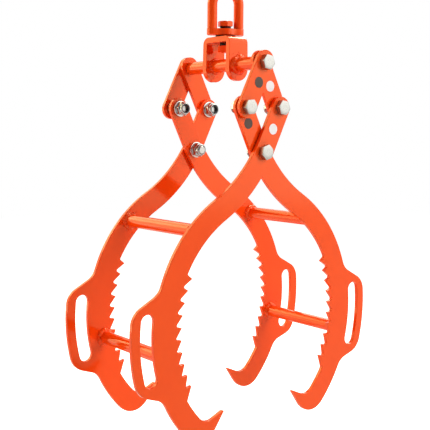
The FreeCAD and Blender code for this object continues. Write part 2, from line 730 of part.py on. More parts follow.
def make_pivot_set(label, x, z, end_reach, stacks):
    """Bolts, washers and lock nuts of one pivot, at the front and at the rear.

    The end reach is how far each bolt stands out of its nut. Each stack says where the bolt head
    sits, where the washer sits and which way the head faces.
    """
    bolts = []
    washers = []
    nuts = []
    for where, head_seat, washer_seat, head_forward in stacks:
        sign = "" if head_forward else "-"
        grip = f"{sign}(({washer_seat}) - ({head_seat}))"
        outward = "+" if head_forward else "-"
        shank = f"{grip} + washer_thickness + nut_height + {end_reach}"
        bolt = make_bolt(f"{where}_{label}_bolt", shank)
        point_along_y(bolt, head_forward)
        place(bolt, x=x, y=head_seat, z=z)
        washer = make_washer(f"{where}_{label}_washer", "washer_diameter", "washer_thickness")
        point_along_y(washer, not head_forward)
        place(washer, x=x, y=washer_seat, z=z)
        nut = make_lock_nut(f"{where}_{label}_nut")
        point_along_y(nut, not head_forward)
        place(nut, x=x, y=f"{washer_seat} {outward} washer_thickness", z=z)
        bolts.append(bolt)
        washers.append(washer)
        nuts.append(nut)
    return [
        group(label + "_pivot_bolts", bolts),
        group(label + "_pivot_washers", washers),
        group(label + "_pivot_lock_nuts", nuts),
    ]


def weld_bead(name, radius, leg, x, y, z, grows_forward):
    """A ring of weld between a round bar and the face that it stands on."""
    outside = cone(name + "_outside", f"{radius} + {leg}", radius, leg)
    bar = cylinder(name + "_bar", radius, leg)
    bead = cut(name, outside, bar)
    point_along_y(bead, grows_forward)
    place(bead, x=x, y=y, z=z)
    return bead


def make_mark(name, x, y, z):
    """A round assembly mark on the front face of a plate."""
    disc = cylinder(name, "mark_diameter / 2", "mark_thickness")
    point_along_y(disc, True)
    place(disc, x=x, y=y, z=z)
    return disc


# Eye and swivel

def make_eye():
    """A bent round bar on a flat base with a boss for the swivel bolt."""
    bend = primitive("Part::Torus", "eye_bend", Radius1="eye_leg_spacing / 2",
                     Radius2="eye_bar_diameter / 2")
    bend.Angle3 = HALF_TURN
    turn(bend, X_AXIS, QUARTER_TURN)
    place(bend, z="-eye_inner_radius")
    pieces = [bend]
    for name, side in (("eye_left_leg", "-"), ("eye_right_leg", "")):
        leg = cylinder(name, "eye_bar_diameter / 2", "eye_leg_height")
        place(leg, x=f"{side}eye_leg_spacing / 2", z="eye_base_top")
        end = cylinder(name + "_foot", "eye_base_depth / 2", "eye_base_height")
        place(end, x=f"{side}eye_base_end", z="eye_base_bottom")
        pieces += [leg, end]
    bar = primitive("Part::Box", "eye_base_bar", Length="2 * eye_base_end", Width="eye_base_depth",
                    Height="eye_base_height")
    place(bar, x="-eye_base_end", y="-eye_base_depth / 2", z="eye_base_bottom")
    boss = cylinder("eye_boss", "eye_boss_diameter / 2", "eye_base_height")
    place(boss, z="eye_base_bottom")
    raw = fuse("eye_forging", pieces + [bar, boss])
    document.recompute()
    half_depth = number("eye_base_depth") / 2
    corners = []
    for index, edge in enumerate(raw.Shape.Edges, start=1):
        box = edge.BoundBox
        upright = box.XLength + box.YLength < box.ZLength
        inside = abs(edge.CenterOfMass.x) < number("eye_boss_diameter") / 2
        if upright and inside and abs(abs(edge.CenterOfMass.y) - half_depth) < half_depth / 4:
            corners.append((index, number("eye_boss_blend"), number("eye_boss_blend")))
    blended = document.addObject("Part::Fillet", "eye_blended")
    blended.Base = raw
    blended.Edges = corners
    document.recompute()
    floor = number("eye_base_bottom")
    rim = []
    for index, edge in enumerate(blended.Shape.Edges, start=1):
        if edge.BoundBox.ZMax < floor + number("eye_edge_round") / 4:
            rim.append((index, number("eye_edge_round"), number("eye_edge_round")))
    rounded = document.addObject("Part::Fillet", "eye_rounded")
    rounded.Base = blended
    rounded.Edges = rim
    bore = cylinder("eye_bore", "bushing_diameter / 2 + running_fit", "eye_base_height")
    place(bore, z="eye_base_bottom")
    eye = cut("lifting_eye", rounded, bore)
    turn(eye, Z_AXIS, -number("eye_turn"))
    return [eye]


def make_swivel():
    """The bolt that the bracket hangs on, with its bushing, washers and nut."""
    shank = "swivel_head_seat - swivel_nut_top + swivel_nut_height + swivel_bolt_proud"
    bolt = make_bolt("swivel_bolt", shank)
    place(bolt, z="swivel_head_seat")
    sleeve = cylinder("bushing_sleeve", "bushing_diameter / 2", "swivel_head_seat - thrust_washer_top")
    hole = cylinder("bushing_hole", "pivot_hole / 2", "swivel_head_seat - thrust_washer_top")
    bushing = cut("swivel_bushing", sleeve, hole)
    place(bushing, z="thrust_washer_top")
    thrust = make_washer("thrust_washer", "thrust_washer_diameter", "thrust_washer_thickness")
    place(thrust, z="bracket_top")
    washer = make_washer("swivel_washer", "swivel_washer_diameter", "swivel_washer_thickness")
    place(washer, z="swivel_nut_top")
    hexagon = chamfered_hexagon("swivel_nut_hexagon", "swivel_nut_height")
    nut = cut("swivel_nut", hexagon, cylinder("swivel_nut_thread", "pivot_hole / 2", "swivel_nut_height"))
    turn(nut, X_AXIS, HALF_TURN)
    place(nut, z="swivel_nut_top")
    return [bolt, bushing, thrust, washer, nut]


# Bracket and crossbar

def draw_bracket_profile(body):
    """The bent plate seen from the side: an upside-down U with round bends."""
    drawing = Drawing(body, "bracket_profile", "YZ_Plane")
    outer = number("bracket_depth") / 2
    inner = outer - number("bracket_thickness")
    top = number("bracket_rise")
    under = top - number("bracket_thickness")
    bend = number("bracket_bend_radius")
    big = bend + number("bracket_thickness")
    foot = -number("lobe_radius") - number("lobe_drop")
    vector = FreeCAD.Vector
    pieces = [
        drawing.line(vector(outer, foot, 0), vector(outer, top - big, 0)),
        drawing.arc(vector(outer - big, top - big, 0), big, 0, QUARTER_TURN),
        drawing.line(vector(outer - big, top, 0), vector(big - outer, top, 0)),
        drawing.arc(vector(big - outer, top - big, 0), big, QUARTER_TURN, HALF_TURN),
        drawing.line(vector(-outer, top - big, 0), vector(-outer, foot, 0)),
        drawing.line(vector(-outer, foot, 0), vector(-inner, foot, 0)),
        drawing.line(vector(-inner, foot, 0), vector(-inner, under - bend, 0)),
        drawing.arc(vector(bend - inner, under - bend, 0), bend, QUARTER_TURN, HALF_TURN),
        drawing.line(vector(bend - inner, under, 0), vector(inner - bend, under, 0)),
        drawing.arc(vector(inner - bend, under - bend, 0), bend, 0, QUARTER_TURN),
        drawing.line(vector(inner, under - bend, 0), vector(inner, foot, 0)),
        drawing.line(vector(inner, foot, 0), vector(outer, foot, 0)),
    ]
    (right, bend_right, roof, bend_left, left, foot_left, inside_left, small_left, ceiling,
     small_right, inside_right, foot_right) = pieces
    for first, first_end, second, second_end in [
        (right, END, bend_right, START), (bend_right, END, roof, START), (roof, END, bend_left, START),
        (bend_left, END, left, START), (inside_left, END, small_left, END),
        (small_left, START, ceiling, START), (ceiling, END, small_right, END),
        (small_right, START, inside_right, START),
    ]:
        drawing.rule("Tangent", first, first_end, second, second_end)
    for first, second in [(left, foot_left), (foot_left, inside_left), (inside_right, foot_right),
                          (foot_right, right)]:
        drawing.rule("Coincident", first, END, second, START)
    for upright in (right, left, inside_left, inside_right):
        drawing.rule("Vertical", upright)
    for level in (roof, ceiling, foot_left, foot_right):
        drawing.rule("Horizontal", level)
    drawing.size("Radius", small_left, formula="bracket_bend_radius")
    drawing.size("Radius", small_right, formula="bracket_bend_radius")
    drawing.size("Radius", bend_right, formula="bracket_bend_radius + bracket_thickness")
    drawing.size("Radius", bend_left, formula="bracket_bend_radius + bracket_thickness")
    drawing.at((right, START), "bracket_depth / 2", "-lobe_radius - lobe_drop")
    drawing.at((left, END), "-bracket_depth / 2", "-lobe_radius - lobe_drop")
    drawing.above_origin((roof, START), "bracket_rise")
    drawing.above_origin((ceiling, START), "bracket_rise - bracket_thickness")
    drawing.right_of_origin((inside_left, START), "bracket_thickness - bracket_depth / 2")
    drawing.right_of_origin((inside_right, END), "bracket_depth / 2 - bracket_thickness")
    return drawing


def draw_leg_trim(body):
    """Everything outside a leg's front view: two slanting sides and a round lower end."""
    drawing = Drawing(body, "bracket_trim")
    radius = number("lobe_radius")
    low = -number("lobe_drop")
    top = number("bracket_rise")
    half_top = number("bracket_top_width") / 2
    wide = 2 * radius
    deep = low - 2 * radius
    vector = FreeCAD.Vector
    tilt = math.degrees(math.asin(radius / math.hypot(half_top, top - low)))
    tilt -= math.degrees(math.atan2(half_top, top - low))
    turned = math.radians(tilt)
    touch_right = vector(radius * math.cos(turned), low + radius * math.sin(turned), 0)
    touch_left = vector(-touch_right.x, touch_right.y, 0)
    lobe = drawing.arc(vector(0, low, 0), radius, HALF_TURN - tilt, 2 * HALF_TURN + tilt)
    left = drawing.line(vector(-half_top, top, 0), touch_left)
    right = drawing.line(touch_right, vector(half_top, top, 0))
    drawing.rule("Tangent", left, END, lobe, START)
    drawing.rule("Tangent", lobe, END, right, START)
    drawing.rule("PointOnObject", lobe, CENTRE, -2)
    drawing.above_origin((lobe, CENTRE), "-lobe_drop")
    drawing.size("Radius", lobe, formula="lobe_radius")
    drawing.at((left, START), "-bracket_top_width / 2", "bracket_rise")
    drawing.at((right, END), "bracket_top_width / 2", "bracket_rise")
    frame = [vector(half_top, top, 0), vector(wide, top, 0), vector(wide, deep, 0),
             vector(-wide, deep, 0), vector(-wide, top, 0), vector(-half_top, top, 0)]
    sides = [drawing.line(start, end) for start, end in zip(frame, frame[1:])]
    drawing.rule("Coincident", right, END, sides[0], START)
    for first, second in zip(sides, sides[1:]):
        drawing.rule("Coincident", first, END, second, START)
    drawing.rule("Coincident", sides[-1], END, left, START)
    for level in (sides[0], sides[2], sides[4]):
        drawing.rule("Horizontal", level)
    for upright in (sides[1], sides[3]):
        drawing.rule("Vertical", upright)
    drawing.right_of_origin((sides[1], START), "2 * lobe_radius")
    drawing.right_of_origin((sides[3], START), "-2 * lobe_radius")
    drawing.above_origin((sides[2], START), "-lobe_drop - 2 * lobe_radius")
    return drawing


def make_bracket():
    """The bent plate that the crossbar is welded into."""
    body = new_body("swivel_bracket")
    pad(body, draw_bracket_profile(body), "4 * lobe_radius", "bracket_bend")
    cut_through(body, draw_leg_trim(body), "bracket_sides")
    bores = Drawing(body, "bracket_bores")
    bores.circle("0", "0", "crossbar_diameter + 2 * running_fit")
    cut_through(body, bores, "bracket_crossbar_bores")
    hole = Drawing(body, "bracket_top_hole", "XY_Plane")
    hole.circle("0", "0", "pivot_hole")
    cut_through(body, hole, "bracket_bolt_hole")
    place(body, z="apex_height")
    return body


def make_crossbar():
    """A round bar with a bolt hole in each end."""
    bar = cylinder("crossbar_blank", "crossbar_diameter / 2", "crossbar_length")
    bind(bar, "Placement.Base.z", "-crossbar_length / 2")
    front = cylinder("crossbar_front_hole", "pivot_hole / 2", "tapped_depth")
    bind(front, "Placement.Base.z", "crossbar_length / 2 - tapped_depth")
    back = cylinder("crossbar_back_hole", "pivot_hole / 2", "tapped_depth")
    bind(back, "Placement.Base.z", "-crossbar_length / 2")
    crossbar = cut("crossbar", bar, fuse("crossbar_holes", [front, back]))
    point_along_y(crossbar, True)
    place(crossbar, y="crossbar_offset", z="apex_height")
    return crossbar


def make_crossbar_welds():
    """Beads round the crossbar on both faces of both bracket legs."""
    radius = "crossbar_diameter / 2"
    beads = []
    for name, face, grows_forward in [
        ("front_outer", "-bracket_depth / 2", True),
        ("front_inner", "bracket_thickness - bracket_depth / 2", False),
        ("rear_inner", "bracket_depth / 2 - bracket_thickness", True),
        ("rear_outer", "bracket_depth / 2", False),
    ]:
        beads.append(weld_bead(f"{name}_crossbar_weld", radius, "crossbar_weld_leg", "0", face,
                               "apex_height", grows_forward))
    return group("crossbar_welds", beads)


def make_apex_bolts():
    """Two bolts that hold the links on the ends of the crossbar."""
    bolts = []
    for name, seat, grip, forward in [
        ("front_apex_bolt", "front_outer_face - seat_gap",
         "crossbar_front - front_outer_face + seat_gap", True),
        ("rear_apex_bolt", "rear_fourth_back + seat_gap",
         "rear_fourth_back + seat_gap - crossbar_back", False),
    ]:
        bolt = make_bolt(name, f"{grip} + tapped_depth - bolt_end_chamfer")
        point_along_y(bolt, forward)
        place(bolt, y=seat, z="apex_height")
        bolts.append(bolt)
    return group("apex_bolts", bolts)


def make_links_and_jaws():
    """Two pairs of claws: two layers of plates at the front, four at the rear."""
    front_first = "front_outer_face"
    front_second = "front_inner_face"
    return [
        make_link("front_left_link", True, front_first),
        make_link("front_right_link", False, front_second),
        make_link("rear_left_link", True, "rear_fourth_face"),
        make_link("rear_right_link", False, "rear_third_face"),
        make_jaw("front_left_jaw", False, front_first, "pivot_hole"),
        make_jaw("front_right_jaw", True, front_second, "open_pivot_hole"),
        make_jaw("rear_left_jaw", False, "rear_second_face", "pivot_hole"),
        make_jaw("rear_right_jaw", True, "rear_first_face", "open_pivot_hole"),
    ]


def make_cross_tubes():
    """Two tubes and their welds for each side of the tongs."""
    pieces = []
    for side, on_right, front, back in [
        ("left", False, "front_outer_face + plate_thickness", "rear_second_face"),
        ("right", True, "front_inner_back", "rear_first_face"),
    ]:
        beads = []
        for level, radius, angle in [("upper", "upper_tube_radius", "upper_tube_angle"),
                                     ("lower", "lower_tube_radius", "-lower_tube_angle")]:
            x, z = jaw_place(on_right, radius, angle)
            pieces.append(make_tube(f"{level}_{side}_cross_tube", x, z, front, back))
            for end, face, forward in (("front", front, False), ("rear", back, True)):
                beads.append(weld_bead(f"{end}_{level}_{side}_weld", "tube_diameter / 2",
                                       "tube_weld_leg", x, face, z, forward))
        pieces.append(group(f"{side}_tube_welds", beads))
    return pieces


def make_pivots():
    """Pivot hardware, with each head on the outside of its pair and each nut inside."""
    jaw_inside_front = "front_inner_back + seat_gap"
    jaw_inside_rear = "rear_first_face - seat_gap"
    left = make_pivot_set("left", "-node_reach", "node_height", "-bolt_end_inset", [
        ("front", "front_outer_face", jaw_inside_front, True),
        ("rear", "rear_fourth_back", jaw_inside_rear, False),
    ])
    right = make_pivot_set("right", "node_reach", "node_height", "-bolt_end_inset", [
        ("front", "front_outer_face", jaw_inside_front, True),
        ("rear", "rear_fourth_face - plate_gap + seat_gap", "rear_second_face", False),
    ])
    crossing = make_pivot_set("crossing", "0", "crossing_height", "bolt_end_proud", [
        ("front", "front_outer_face", jaw_inside_front, True),
        ("rear", "rear_third_face - plate_gap", jaw_inside_rear, False),
    ])
    start = "rear_first_face + plate_thickness + seat_gap"
    length = f"rear_fourth_face - ({start})"
    outer = cylinder("spacer_outer", "spacer_diameter / 2", length)
    hole = cylinder("spacer_hole", "pivot_hole / 2", length)
    spacer = cut("rear_left_spacer", outer, hole)
    point_along_y(spacer, False)
    place(spacer, x="-node_reach", y=start, z="node_height")
    return left + right + crossing + [spacer]


def make_marks():
    """Round marks on the front pair that say which link goes on which jaw."""
    front_first = "front_outer_face"
    front_second = "front_inner_face"
    link_x = "sin(half_angle)"
    link_z = "cos(half_angle)"
    return [
        make_mark("dark_link_mark",
                  f"dark_link_mark_side * {link_z} - dark_link_mark_drop * {link_x}", front_first,
                  f"apex_height - dark_link_mark_drop * {link_z} - dark_link_mark_side * {link_x}"),
        make_mark("pale_link_mark", f"pale_link_mark_drop * {link_x}", front_second,
                  f"apex_height - pale_link_mark_drop * {link_z}"),
        make_mark("dark_jaw_mark",
                  f"dark_jaw_mark_drop * {link_x} - dark_jaw_mark_side * {link_z} - node_reach",
                  front_second,
                  f"node_height - dark_jaw_mark_drop * {link_z} - dark_jaw_mark_side * {link_x}"),
        make_mark("pale_jaw_mark", f"node_reach - pale_jaw_mark_drop * {link_x}", front_first,
                  f"node_height - pale_jaw_mark_drop * {link_z}"),
    ]


def check_and_export(pieces):
    """Stops on any failed object or bad shape, then writes one file for each piece."""
    document.recompute()
    for thing in document.Objects:
        if "Invalid" in thing.State or "Error" in thing.State:
            raise RuntimeError(f"{thing.Label} failed: {thing.State}")
    os.makedirs("parts", exist_ok=True)
    for piece in pieces:
        shape = piece.Shape
        if shape.isNull() or not shape.isValid() or not shape.Solids:
            raise RuntimeError(f"{piece.Label} has a bad shape")
        shape.exportStep(os.path.join("parts", piece.Label + ".step"))
        print(f"{piece.Label}: {len(shape.Solids)} solids, {shape.Volume:.0f} mm3")


parts_list = make_eye() + make_swivel()
parts_list += [make_bracket(), make_crossbar(), make_crossbar_welds(), make_apex_bolts()]
parts_list += make_links_and_jaws() + make_cross_tubes() + make_pivots() + make_marks()
check_and_export(parts_list)
print(len(parts_list), "nodes")
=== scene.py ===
import json
import math

import bmesh
import bpy
import numpy as np
from mathutils import Matrix, Vector
from mathutils.bvhtree import BVHTree


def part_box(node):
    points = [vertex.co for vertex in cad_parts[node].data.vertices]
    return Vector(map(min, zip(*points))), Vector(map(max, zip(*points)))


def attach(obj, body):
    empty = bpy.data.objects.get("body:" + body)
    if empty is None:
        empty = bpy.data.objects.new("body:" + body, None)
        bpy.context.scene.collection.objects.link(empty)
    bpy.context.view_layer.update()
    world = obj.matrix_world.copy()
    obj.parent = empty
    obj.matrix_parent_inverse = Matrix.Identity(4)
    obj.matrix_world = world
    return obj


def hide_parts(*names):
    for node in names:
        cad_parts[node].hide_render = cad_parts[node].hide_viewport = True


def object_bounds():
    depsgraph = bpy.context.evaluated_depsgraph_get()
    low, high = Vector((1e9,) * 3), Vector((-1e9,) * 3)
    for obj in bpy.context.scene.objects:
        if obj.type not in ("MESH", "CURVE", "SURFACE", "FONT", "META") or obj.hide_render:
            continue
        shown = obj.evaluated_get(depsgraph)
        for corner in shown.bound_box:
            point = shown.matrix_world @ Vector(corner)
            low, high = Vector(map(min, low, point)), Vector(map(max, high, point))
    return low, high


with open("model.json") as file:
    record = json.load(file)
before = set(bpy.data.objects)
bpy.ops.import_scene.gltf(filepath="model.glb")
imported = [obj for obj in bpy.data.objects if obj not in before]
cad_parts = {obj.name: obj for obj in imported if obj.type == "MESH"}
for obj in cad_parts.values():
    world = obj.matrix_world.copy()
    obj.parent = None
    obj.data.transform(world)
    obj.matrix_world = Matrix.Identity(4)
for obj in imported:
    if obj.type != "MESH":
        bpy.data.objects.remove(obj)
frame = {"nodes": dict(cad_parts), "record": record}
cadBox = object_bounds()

# Log lifting tongs: four toothed claws on two scissor linkages, hung from a swivel eye.
# X runs across the tongs, Y from the front pair of claws to the rear pair, Z up.
# Lengths in the dictionaries are millimetres and angles degrees; the meshes are in metres.
nodes = frame["nodes"]
record = frame["record"]
bodyOf = {node: body for body, members in record["behaviour"]["bodies"].items() for node in members}
slotOf = {part["node"]: part["material_slot"] for part in record["subparts"]}
scene = bpy.context.scene
mm = 0.001
fullTurn = 2 * math.pi
sharpAngle = 32  # Edges that turn by more than this many degrees are shown sharp.
roundSides = 96  # Sides of every turned piece.
edgeMiddle = 0.3  # How far the middle point of a rounded edge stays from the corner, as a share.


# Small helpers.

def linear(hexColour):
    # An sRGB hex colour as linear red, green, blue and opacity one.
    channels = np.array([int(hexColour[k:k + 2], 16) / 255 for k in (1, 3, 5)])
    low = channels / 12.92
    high = ((channels + 0.055) / 1.055) ** 2.4
    return (*np.where(channels <= 0.04045, low, high), 1.0)


def addNode(tree, kind, settings=None, links=None):
    # Adds one node; settings are its properties or sockets, links are socket: (node, output).
    node = tree.nodes.new(kind)
    for key, value in (settings or {}).items():
        if isinstance(key, str) and hasattr(node, key):
            setattr(node, key, value)
        else:
            node.inputs[key].default_value = value
    for key, (source, output) in (links or {}).items():
        tree.links.new(source.outputs[output], node.inputs[key])
    return node


def newMaterial(name):
    material = bpy.data.materials.new(name)
    material.use_nodes = True
    tree = material.node_tree
    tree.nodes.clear()
    output = addNode(tree, "ShaderNodeOutputMaterial")
    place = addNode(tree, "ShaderNodeTexCoord")
    return material, tree, output, place


def perMetre(millimetres):
    # A noise scale whose grain is about that many millimetres.
    return 1 / (millimetres * mm)


def asMesh(name, vertices, faces):
    mesh = bpy.data.meshes.new(name)
    mesh.from_pydata((np.asarray(vertices) * mm).tolist(), [], faces)
    mesh.validate()
    return mesh


def addPiece(name, parts, material, body, smoothAngle=sharpAngle):
    # Joins (vertices, faces) parts, given in millimetres, into one piece that rides on a body.
    vertices = []
    faces = []
    start = 0
    for points, quads in parts:
        vertices.append(points)
        faces += [[k + start for k in face] for face in quads]
        start += len(points)
    mesh = asMesh(name, np.concatenate(vertices), faces)
    mesh.shade_smooth()
    mesh.set_sharp_from_angle(angle=math.radians(smoothAngle))
    mesh.materials.append(material)
    piece = bpy.data.objects.new(name, mesh)
    scene.collection.objects.link(piece)
    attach(piece, body)
    return piece


def gridFaces(rows, columns, closedRows=False):
    # Quads between neighbouring rows of a grid whose columns close on themselves. The rows
    # close too, or else the first and the last are capped.
    row = np.arange(rows if closedRows else rows - 1)
    column = np.arange(columns)
    r, c = np.meshgrid(row, column, indexing="ij")
    nextRow = (r + 1) % rows
    nextColumn = (c + 1) % columns
    quads = np.stack([r * columns + c, r * columns + nextColumn,
                      nextRow * columns + nextColumn, nextRow * columns + c], axis=-1)
    faces = quads.reshape(-1, 4).tolist()
    if not closedRows:
        faces.append(column[::-1].tolist())
        faces.append(((rows - 1) * columns + column).tolist())
    return faces


def hexReach(angle, flats, cornerShare):
    # Distance from the axis to a hexagon's outline: half the flats over the cosine of the
    # angle from the middle of the side, held short of the corners so that they are rounded.
    side = np.mod(angle, fullTurn / 6) - fullTurn / 12
    reach = flats / 2 / np.cos(side)
    return np.minimum(reach, flats / 2 / math.cos(fullTurn / 12) * cornerShare)


def turned(rows, hexagon=None, turn=0.0):
    # A profile turned about the local z axis. Each row is (radius, height, fall). Where radius
    # is None the row follows the hexagon's outline, and its height falls (fall 1) or rises
    # (fall -1) by slope for each millimetre beyond the crown's radius: the cone that chamfers
    # a head or a nut.
    angle = np.linspace(0, fullTurn, roundSides, endpoint=False)
    rings = []
    for radius, height, fall in rows:
        if radius is None:
            reach = hexReach(angle + math.radians(turn), hexagon["flats"], hexagon["cornerShare"])
            level = height - fall * hexagon["slope"] * (reach - hexagon["crown"])
        else:
            reach = np.full(roundSides, float(radius))
            level = np.full(roundSides, float(height))
        rings.append(np.stack([reach * np.cos(angle), reach * np.sin(angle), level], axis=-1))
    return np.array(rings)


def laid(points, place, outward):
    # Lays local points, whose z axis points outward, at a place: "front" is -Y, "rear" +Y, "up" +Z.
    x, y, z = points[..., 0], points[..., 1], points[..., 2]
    if outward == "front":
        moved = np.stack([x, -z, y], axis=-1)
    elif outward == "rear":
        moved = np.stack([-x, z, y], axis=-1)
    else:
        moved = points
    return (moved + np.array(place)).reshape(-1, 3)


def solidBox(node, rear):
    # Lowest and highest corner, in millimetres, of a node's front or rear solid.
    points = np.array([v.co for v in nodes[node].data.vertices]) / mm
    chosen = points[(points[:, 1] > 0) == rear]
    return chosen.min(axis=0), chosen.max(axis=0)


def ends(node, rear):
    # Axis place (x, z) of a front or rear fastener, its outer and its inner y.
    low, high = solidBox(node, rear)
    middle = (low + high) / 2
    outer, inner = (high[1], low[1]) if rear else (low[1], high[1])
    return middle[0], middle[2], outer, inner


# Materials: one maker for each kind of surface, and one material for each record slot.

powderLook = {
    "orange": "#F4430A", "paleOrange": "#F84B0D", "cloudSize": 60, "cloudDetail": 2.0,
    "roughness": 0.10, "roughnessSpread": 0.02, "specular": 0.6, "sheenColour": "#FFDFA4",
    "peelWave": 2.2, "peelDetail": 1.0, "peelDepth": 0.008, "peelStrength": 0.5,
    "lumpDetail": 3.0, "lumpStrength": 0.8,
}


def makePowderCoat(name, lumps=0.0, lumpSize=1.0):
    # Polyester powder coat, sprayed and baked: an even opaque orange with a glossy skin and a
    # faint orange peel. It gives the eye clean colour, pale mirrored edges and saturated red
    # where the paint lights itself. Lumps are the weld bead under the paint.
    look = powderLook
    material, tree, output, place = newMaterial(name)
    cloud = addNode(tree, "ShaderNodeTexNoise",
                    {"Scale": perMetre(look["cloudSize"]), "Detail": look["cloudDetail"]},
                    {"Vector": (place, "Object")})
    colour = addNode(tree, "ShaderNodeMix", {"data_type": "RGBA", 6: linear(look["orange"]),
                                             7: linear(look["paleOrange"])}, {0: (cloud, "Fac")})
    gloss = addNode(tree, "ShaderNodeMapRange",
                    {"To Min": look["roughness"] - look["roughnessSpread"],
                     "To Max": look["roughness"] + look["roughnessSpread"]},
                    {"Value": (cloud, "Fac")})
    peel = addNode(tree, "ShaderNodeTexNoise",
                   {"Scale": perMetre(look["peelWave"]), "Detail": look["peelDetail"]},
                   {"Vector": (place, "Object")})
    bump = addNode(tree, "ShaderNodeBump",
                   {"Strength": look["peelStrength"], "Distance": look["peelDepth"] * mm},
                   {"Height": (peel, "Fac")})
    if lumps:
        rough = addNode(tree, "ShaderNodeTexNoise",
                        {"Scale": perMetre(lumpSize), "Detail": look["lumpDetail"]},
                        {"Vector": (place, "Object")})
        bump = addNode(tree, "ShaderNodeBump",
                       {"Strength": look["lumpStrength"], "Distance": lumps * mm},
                       {"Height": (rough, "Fac"), "Normal": (bump, "Normal")})
    shader = addNode(tree, "ShaderNodeBsdfPrincipled",
                     {"Specular IOR Level": look["specular"],
                      "Specular Tint": linear(look["sheenColour"])},
                     {"Base Color": (colour, 2), "Roughness": (gloss, 0), "Normal": (bump, 0)})
    tree.links.new(shader.outputs[0], output.inputs[0])
    return material


platedLook = {"detail": 4.0, "bumpStrength": 0.4}


def makePlatedSteel(name, hexColour, paleColour, roughness, spread, grain, depth):
    # Plated or blackened steel: bare metal with a fine grain that mottles its colour and its
    # gloss. It gives the eye a metal that takes its tones from what stands round it.
    look = platedLook
    material, tree, output, place = newMaterial(name)
    mottle = addNode(tree, "ShaderNodeTexNoise", {"Scale": perMetre(grain), "Detail": look["detail"]},
                     {"Vector": (place, "Object")})
    colour = addNode(tree, "ShaderNodeMix", {"data_type": "RGBA", 6: linear(hexColour),
                                             7: linear(paleColour)}, {0: (mottle, "Fac")})
    gloss = addNode(tree, "ShaderNodeMapRange",
                    {"To Min": roughness - spread, "To Max": roughness + spread},
                    {"Value": (mottle, "Fac")})
    bump = addNode(tree, "ShaderNodeBump",
                   {"Strength": look["bumpStrength"], "Distance": depth * mm},
                   {"Height": (mottle, "Fac")})
    shader = addNode(tree, "ShaderNodeBsdfPrincipled", {"Metallic": 1.0},
                     {"Base Color": (colour, 2), "Roughness": (gloss, 0), "Normal": (bump, 0)})
    tree.links.new(shader.outputs[0], output.inputs[0])
    return material


plainLook = {"detail": 3.0, "bumpStrength": 0.4}


def makePlain(name, hexColour, paleColour, roughness, grain, depth):
    # Matt paint or moulded plastic: an opaque colour with a slight mottle and a dull skin.
    look = plainLook
    material, tree, output, place = newMaterial(name)
    mottle = addNode(tree, "ShaderNodeTexNoise", {"Scale": perMetre(grain), "Detail": look["detail"]},
                     {"Vector": (place, "Object")})
    colour = addNode(tree, "ShaderNodeMix", {"data_type": "RGBA", 6: linear(hexColour),
                                             7: linear(paleColour)}, {0: (mottle, "Fac")})
    bump = addNode(tree, "ShaderNodeBump",
                   {"Strength": look["bumpStrength"], "Distance": depth * mm},
                   {"Height": (mottle, "Fac")})
    shader = addNode(tree, "ShaderNodeBsdfPrincipled", {"Roughness": roughness},
                     {"Base Color": (colour, 2), "Normal": (bump, 0)})
    tree.links.new(shader.outputs[0], output.inputs[0])
    return material


powderCoat = makePowderCoat("powderCoatOrange")
# The same paint over a weld: it glitters in small lumps.
weldedCoat = makePowderCoat("powderCoatOverWeld", lumps=0.45, lumpSize=1.8)
# Clear zinc on forged heads: a soft, slightly cloudy silver.
zincBolt = makePlatedSteel("clearZincForged", "#929595", "#C8CACA",
                           roughness=0.30, spread=0.10, grain=2.2, depth=0.08)
# Bright zinc on nuts and the spacer: crisp silver with dark and light mirrored bands.
brightZinc = makePlatedSteel("brightZincTurned", "#A2A5A8", "#B6B9BC",
                             roughness=0.16, spread=0.05, grain=1.5, depth=0.01)
# The same plate on stamped washers: paler, because sheet is smoother than bar.
stampedZinc = makePlatedSteel("brightZincStamped", "#CCCECF", "#DADCDD",
                              roughness=0.20, spread=0.05, grain=1.5, depth=0.01)
# The swivel's washers and bushing: steel painted near-black with a dull shine, as painted shade, so
# that the gaps under the bolt head, above the nut and under the eye read dark.
shadeDarkSwivelSteel = makePlatedSteel("swivelSteelDarkAsShade", "#1C1B1A", "#2A2826",
                                 roughness=0.42, spread=0.08, grain=1.5, depth=0.02)
# The lock nuts' moulded inserts: a blue-black ring inside the collar.
nylonRing = makePlain("mouldedNylon", "#0B1018", "#121923", roughness=0.40, grain=1.2, depth=0.01)
# The painted dots: flat warm grey, and flat white.
greyPaint = makePlain("mattGreyPaint", "#42352F", "#4C3F38", roughness=0.6, grain=3.0, depth=0.02)
whitePaint = makePlain("mattWhitePaint", "#E8E6E8", "#F0EEF0", roughness=0.6, grain=3.0, depth=0.02)
materialOf = {
    "orange_coat": powderCoat, "painted_weld": weldedCoat, "zinc_bolt": zincBolt,
    "bright_zinc": brightZinc, "blackened_steel": shadeDarkSwivelSteel,
    "dark_mark": greyPaint, "pale_mark": whitePaint,
}
for node, thing in nodes.items():
    for k in range(max(1, len(thing.data.materials))):
        if thing.data.materials:
            thing.data.materials[k] = materialOf[slotOf[node]]
        else:
            thing.data.materials.append(materialOf[slotOf[node]])
print("materials made")


# Plates: cut plates, bracket and eye keep the CAD shape and get the round edges of deburred steel.

plateLook = {"edgeRound": 0.7, "edgeSteps": 2, "mergeGap": 0.005, "flatAngle": 0.05}
plateNodes = [
    "front_left_link", "rear_left_link", "front_right_link", "rear_right_link", "front_left_jaw",
    "rear_left_jaw", "front_right_jaw", "rear_right_jaw", "swivel_bracket", "lifting_eye",
]


